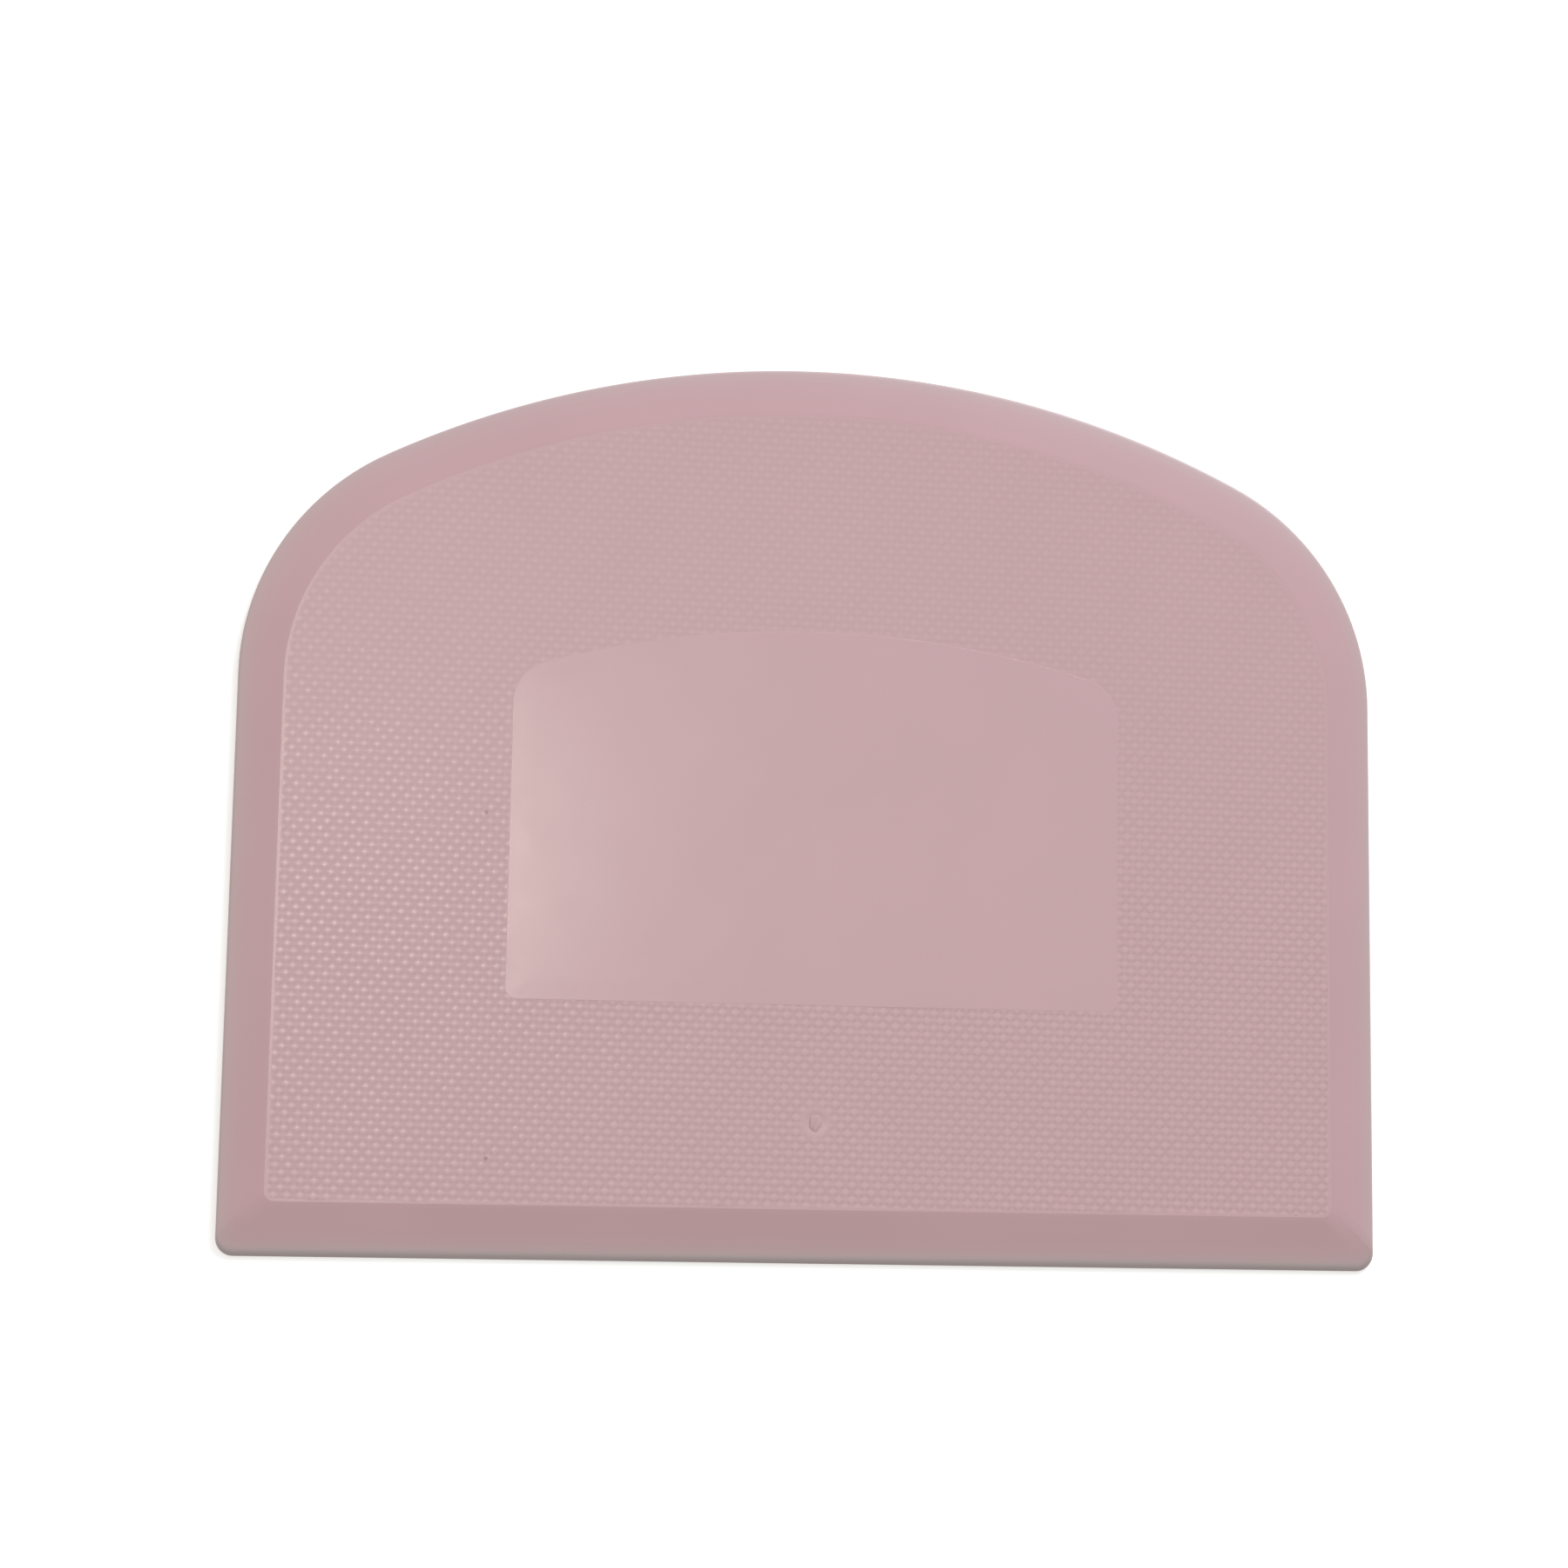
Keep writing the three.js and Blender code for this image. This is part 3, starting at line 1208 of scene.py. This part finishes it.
class SCRAPER_OT_core(bpy.types.Operator):
    """Give the core plate inside the moulding the smooth plastic"""

    bl_idname = "scraper.core"
    bl_label = "Core plate"

    def execute(self, context):
        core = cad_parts["core_plate"]
        core.data.materials.clear()
        core.data.materials.append(bpy.data.materials["smooth_pink_plastic"])
        return {"FINISHED"}


class SCRAPER_OT_stage(bpy.types.Operator):
    """Make the white floor, the studio light and the camera"""

    bl_idname = "scraper.stage"
    bl_label = "Stage"

    def execute(self, context):
        context.scene.view_settings.view_transform = "Standard"
        self.floor()
        self.sky()
        self.softbox("key_from_the_crown", (0.55, 0.95, 0.52), (0.56, 0.56), (0.89, 0.94, 1.0), 10.8)
        self.softbox("overhead_left", (-0.09, 0.06, 0.60), (0.13, 0.15), (1.0, 0.97, 0.78), 0.40)
        self.softbox("panel_at_the_left", (-0.6, -0.1, 0.2), (1.0, 0.3), (1.0, 0.80, 0.46), 0.32)
        self.camera(context.scene)
        return {"FINISHED"}

    @staticmethod
    def floor():
        """A wide white floor that shows as white and still takes the scraper's shadow."""
        half = 0.3
        level = -0.00005
        corners = [(-half, -half, level), (half, -half, level), (half, half, level), (-half, half, level)]
        mesh = bpy.data.meshes.new("floor")
        mesh.from_pydata(corners, [], [(0, 1, 2, 3)])
        material = bpy.data.materials.new("white_floor")
        material.use_nodes = True
        tree = material.node_tree
        shader = tree.nodes["Principled BSDF"]
        shader.inputs["Base Color"].default_value = (0.9, 0.9, 0.9, 1)
        shader.inputs["Roughness"].default_value = 0.9
        shader.inputs["Specular IOR Level"].default_value = 0.0
        shader.inputs["Emission Color"].default_value = (1, 1, 1, 1)
        lift = remap(tree, seen_rays(tree), 0.0, 1.0, 0.0, 0.3)
        tree.links.new(lift, shader.inputs["Emission Strength"])
        mesh.materials.append(material)
        floor = bpy.data.objects.new("floor", mesh)
        bpy.context.scene.collection.objects.link(floor)
        floor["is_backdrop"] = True

    @staticmethod
    def sky():
        """Even light all round, which the camera and reflections see as white."""
        world = bpy.data.worlds.new("studio")
        bpy.context.scene.world = world
        world.use_nodes = True
        tree = world.node_tree
        background = tree.nodes["Background"]
        background.inputs["Color"].default_value = (1.0, 1.0, 1.0, 1.0)
        strength = remap(tree, seen_rays(tree), 0.0, 1.0, stage_settings().sky, 1.0)
        tree.links.new(strength, background.inputs["Strength"])

    @staticmethod
    def softbox(name, place, size, colour, watts):
        """A rectangular lamp aimed at the middle of the scraper."""
        lamp = bpy.data.lights.new(name, "AREA")
        lamp.shape = "RECTANGLE"
        lamp.size, lamp.size_y = size
        lamp.color = colour
        lamp.energy = watts
        holder = bpy.data.objects.new(name, lamp)
        holder.location = place
        holder.rotation_mode = "QUATERNION"
        holder.rotation_quaternion = (-Vector(place)).to_track_quat("-Z", "Y")
        bpy.context.scene.collection.objects.link(holder)

    @staticmethod
    def camera(scene):
        """A camera that looks from its place to its aim, with +Y up the picture, then rolled."""
        settings = stage_settings()
        place = Vector(settings.camera_place)
        ahead = (Vector(settings.camera_aim) - place).normalized()
        right = ahead.cross(Vector((0, 1, 0))).normalized()
        up = right.cross(ahead)
        turned = Matrix((right, up, -ahead)).transposed() @ Matrix.Rotation(settings.camera_roll, 3, "Z")
        lens = bpy.data.cameras.new("camera")
        lens.sensor_width = 36.0
        lens.lens = settings.lens
        holder = bpy.data.objects.new("camera", lens)
        holder.matrix_world = Matrix.Translation(place) @ turned.to_4x4()
        scene.collection.objects.link(holder)
        scene.camera = holder


class SCRAPER_PT_panel(bpy.types.Panel):
    """Sizes, colours and makers of the dough scraper"""

    bl_idname = "SCRAPER_PT_panel"
    bl_label = "Dough scraper"
    bl_space_type = "VIEW_3D"
    bl_region_type = "UI"
    bl_category = "Scraper"

    def draw(self, context):
        for group in (blade_sizes(), weave_sizes(), colours(), stage_settings()):
            box = self.layout.box()
            for key in group.__annotations__:
                box.prop(group, key)
        for operator in OPERATORS:
            self.layout.operator(operator.bl_idname)


GROUPS = {
    "scraper_blade": BladeSizes,
    "scraper_weave": WeaveSizes,
    "scraper_colours": PlasticColours,
    "scraper_stage": StageSettings,
}

# In the order in which they are made: later pieces use the materials of earlier ones
OPERATORS = (
    SCRAPER_OT_rim,
    SCRAPER_OT_window,
    SCRAPER_OT_lip,
    SCRAPER_OT_front_weave,
    SCRAPER_OT_gate,
    SCRAPER_OT_back_weave,
    SCRAPER_OT_core,
    SCRAPER_OT_stage,
)


def register():
    for key, group in GROUPS.items():
        bpy.utils.register_class(group)
        setattr(bpy.types.Scene, key, PointerProperty(type=group))
    for operator in OPERATORS:
        bpy.utils.register_class(operator)
    bpy.utils.register_class(SCRAPER_PT_panel)


def unregister():
    bpy.utils.unregister_class(SCRAPER_PT_panel)
    for operator in reversed(OPERATORS):
        bpy.utils.unregister_class(operator)
    for key, group in GROUPS.items():
        delattr(bpy.types.Scene, key)
        bpy.utils.unregister_class(group)


def main():
    register()
    bpy.ops.scraper.rim()
    bpy.ops.scraper.window()
    bpy.ops.scraper.lip()
    bpy.ops.scraper.front_weave()
    bpy.ops.scraper.gate()
    bpy.ops.scraper.back_weave()
    bpy.ops.scraper.core()
    bpy.ops.scraper.stage()
    bpy.context.view_layer.update()


if __name__ == "__main__":
    main()
